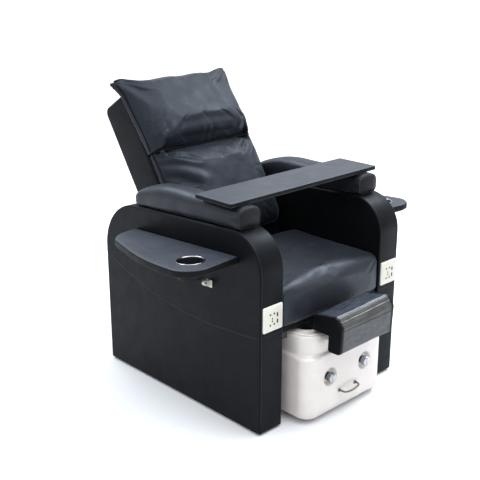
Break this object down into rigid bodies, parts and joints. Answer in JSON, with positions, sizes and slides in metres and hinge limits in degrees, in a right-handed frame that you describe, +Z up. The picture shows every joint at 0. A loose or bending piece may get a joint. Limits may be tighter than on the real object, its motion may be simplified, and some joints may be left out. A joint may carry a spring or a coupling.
{
  "type": "pedicure spa chair",
  "caption": "Reclining upholstered pedicure chair with side trays, lift-off manicure board and a roll-out foot tub with footrest.",
  "frame": {"origin": "centre of the bounding box at floor level", "axes": "+X to the right seen from the front, along the width over both trays; -Y to the front, where the sitter faces; +Z up"},
  "size_m": [1.1484, 1.081, 1.0692],
  "materials": {
    "leather": "satin black leatherette with fine grain",
    "panel_leather": "matte black leatherette",
    "tub_acrylic": "glossy white acrylic",
    "cream_plastic": "cream moulded plastic",
    "black_plastic": "black moulded plastic",
    "chrome": "polished chrome",
    "frame_steel": "black powder coat",
    "timber": "black-stained plywood",
    "rubber": "black rubber"
  },
  "bodies": {
    "chair": {"arm_bolster_left": "leather", "arm_bolster_right": "leather", "side_tray_left": "leather", "side_tray_right": "leather", "seat_cushion": "leather", "panel_cover_left": "panel_leather", "panel_cover_right": "panel_leather", "rear_cover": "panel_leather", "socket_plate_left": "cream_plastic", "socket_plate_right": "cream_plastic", "tray_catch_left": "cream_plastic", "tray_catch_right": "cream_plastic", "power_inlet": "black_plastic", "cup_liner_left": "black_plastic", "cup_liner_right": "black_plastic", "switch_plate": "black_plastic", "power_supply": "black_plastic", "seat_rail_left": "frame_steel", "seat_rail_right": "frame_steel", "hinge_pin_left": "frame_steel", "hinge_pin_right": "frame_steel", "seat_cross_bar": "frame_steel", "rear_beam": "frame_steel", "actuator_clevis": "frame_steel", "panel_frame_left": "timber", "panel_frame_right": "timber", "seat_deck": "timber", "glide_front_left": "rubber", "glide_front_right": "rubber", "glide_rear_left": "rubber", "glide_rear_right": "rubber"},
    "backrest": {"back_frame": "frame_steel", "recline_lug": "frame_steel", "back_shell": "panel_leather", "lower_back_cushion": "leather", "head_pillow": "leather"},
    "actuator_housing": {"actuator_housing": "black_plastic"},
    "actuator_rod": {"actuator_rod": "chrome"},
    "manicure_board": {"manicure_board": "leather"},
    "button_recline": {"button_recline": "black_plastic"},
    "button_upright": {"button_upright": "black_plastic"},
    "foot_tub": {"tub_shell": "tub_acrylic", "foot_basin": "tub_acrylic", "base_board": "timber", "jet_cover": "cream_plastic", "pull_handle": "chrome", "caster_fork_front_left": "frame_steel", "caster_fork_front_right": "frame_steel", "caster_fork_rear_left": "frame_steel", "caster_fork_rear_right": "frame_steel"},
    "footrest": {"footrest_pad": "leather", "footrest_bracket": "frame_steel"},
    "knob_left": {"knob_left": "chrome"},
    "knob_right": {"knob_right": "chrome"},
    "drain_plug": {"drain_plug": "rubber"},
    "jet_impeller": {"jet_impeller": "black_plastic"},
    "caster_wheel_front_left": {"caster_wheel_front_left": "rubber"},
    "caster_wheel_front_right": {"caster_wheel_front_right": "rubber"},
    "caster_wheel_rear_left": {"caster_wheel_rear_left": "rubber"},
    "caster_wheel_rear_right": {"caster_wheel_rear_right": "rubber"}
  },
  "joints": [
    {"name": "back_recline", "type": "hinge", "parent": "chair", "child": "backrest", "pos_m": [0, 0.14115, 0.448], "axis": [-1, 0, 0], "range_deg": [-16, 17]},
    {"name": "actuator_tilt", "type": "hinge", "parent": "chair", "child": "actuator_housing", "pos_m": [0, 0.35476, 0.21429], "axis": [-1, 0, 0], "range_deg": [-1, 1]},
    {"name": "actuator_extend", "type": "slide", "parent": "actuator_housing", "child": "actuator_rod", "axis": [0, -0.848, 0.5299], "range_m": [-0.026, 0.027]},
    {"name": "board_lift", "type": "slide", "parent": "chair", "child": "manicure_board", "axis": [0, 0, 1], "range_m": [0, 0.15]},
    {"name": "recline_button_press", "type": "slide", "parent": "chair", "child": "button_recline", "axis": [-1, 0, 0], "range_m": [0, 0.0025], "stiffness_N_per_m": 400},
    {"name": "upright_button_press", "type": "slide", "parent": "chair", "child": "button_upright", "axis": [-1, 0, 0], "range_m": [0, 0.0025], "stiffness_N_per_m": 400},
    {"name": "tub_roll", "type": "slide", "parent": "chair", "child": "foot_tub", "axis": [0, -1, 0], "range_m": [0, 0.3]},
    {"name": "footrest_lift", "type": "slide", "parent": "foot_tub", "child": "footrest", "axis": [0, 0, 1], "range_m": [0, 0.1]},
    {"name": "knob_left_turn", "type": "hinge", "parent": "foot_tub", "child": "knob_left", "pos_m": [-0.09, -0.46175, 0.155], "axis": [0, -1, 0], "range_deg": [-90, 90]},
    {"name": "knob_right_turn", "type": "hinge", "parent": "foot_tub", "child": "knob_right", "pos_m": [0.09, -0.46175, 0.155], "axis": [0, -1, 0], "range_deg": [-90, 90]},
    {"name": "drain_plug_lift", "type": "slide", "parent": "foot_tub", "child": "drain_plug", "axis": [0, 0, 1], "range_m": [0, 0.04]},
    {"name": "impeller_spin", "type": "hinge", "parent": "foot_tub", "child": "jet_impeller", "pos_m": [0, -0.12675, 0.08], "axis": [0, 0, 1], "continuous": true},
    {"name": "wheel_roll_front_left", "type": "hinge", "parent": "foot_tub", "child": "caster_wheel_front_left", "pos_m": [-0.157, -0.40575, 0.02], "axis": [1, 0, 0], "continuous": true},
    {"name": "wheel_roll_front_right", "type": "hinge", "parent": "foot_tub", "child": "caster_wheel_front_right", "pos_m": [0.157, -0.40575, 0.02], "axis": [1, 0, 0], "continuous": true},
    {"name": "wheel_roll_rear_left", "type": "hinge", "parent": "foot_tub", "child": "caster_wheel_rear_left", "pos_m": [-0.157, -0.04275, 0.02], "axis": [1, 0, 0], "continuous": true},
    {"name": "wheel_roll_rear_right", "type": "hinge", "parent": "foot_tub", "child": "caster_wheel_rear_right", "pos_m": [0.157, -0.04275, 0.02], "axis": [1, 0, 0], "continuous": true}
  ],
  "couplings": [
    {"joint": "actuator_tilt", "follows": "back_recline", "ratio": 0.0016578},
    {"joint": "actuator_extend", "follows": "back_recline", "m_per_rad": 0.084276},
    {"joint": "wheel_roll_front_left", "follows": "tub_roll", "rad_per_m": 50},
    {"joint": "wheel_roll_front_right", "follows": "tub_roll", "rad_per_m": 50},
    {"joint": "wheel_roll_rear_left", "follows": "tub_roll", "rad_per_m": 50},
    {"joint": "wheel_roll_rear_right", "follows": "tub_roll", "rad_per_m": 50}
  ]
}
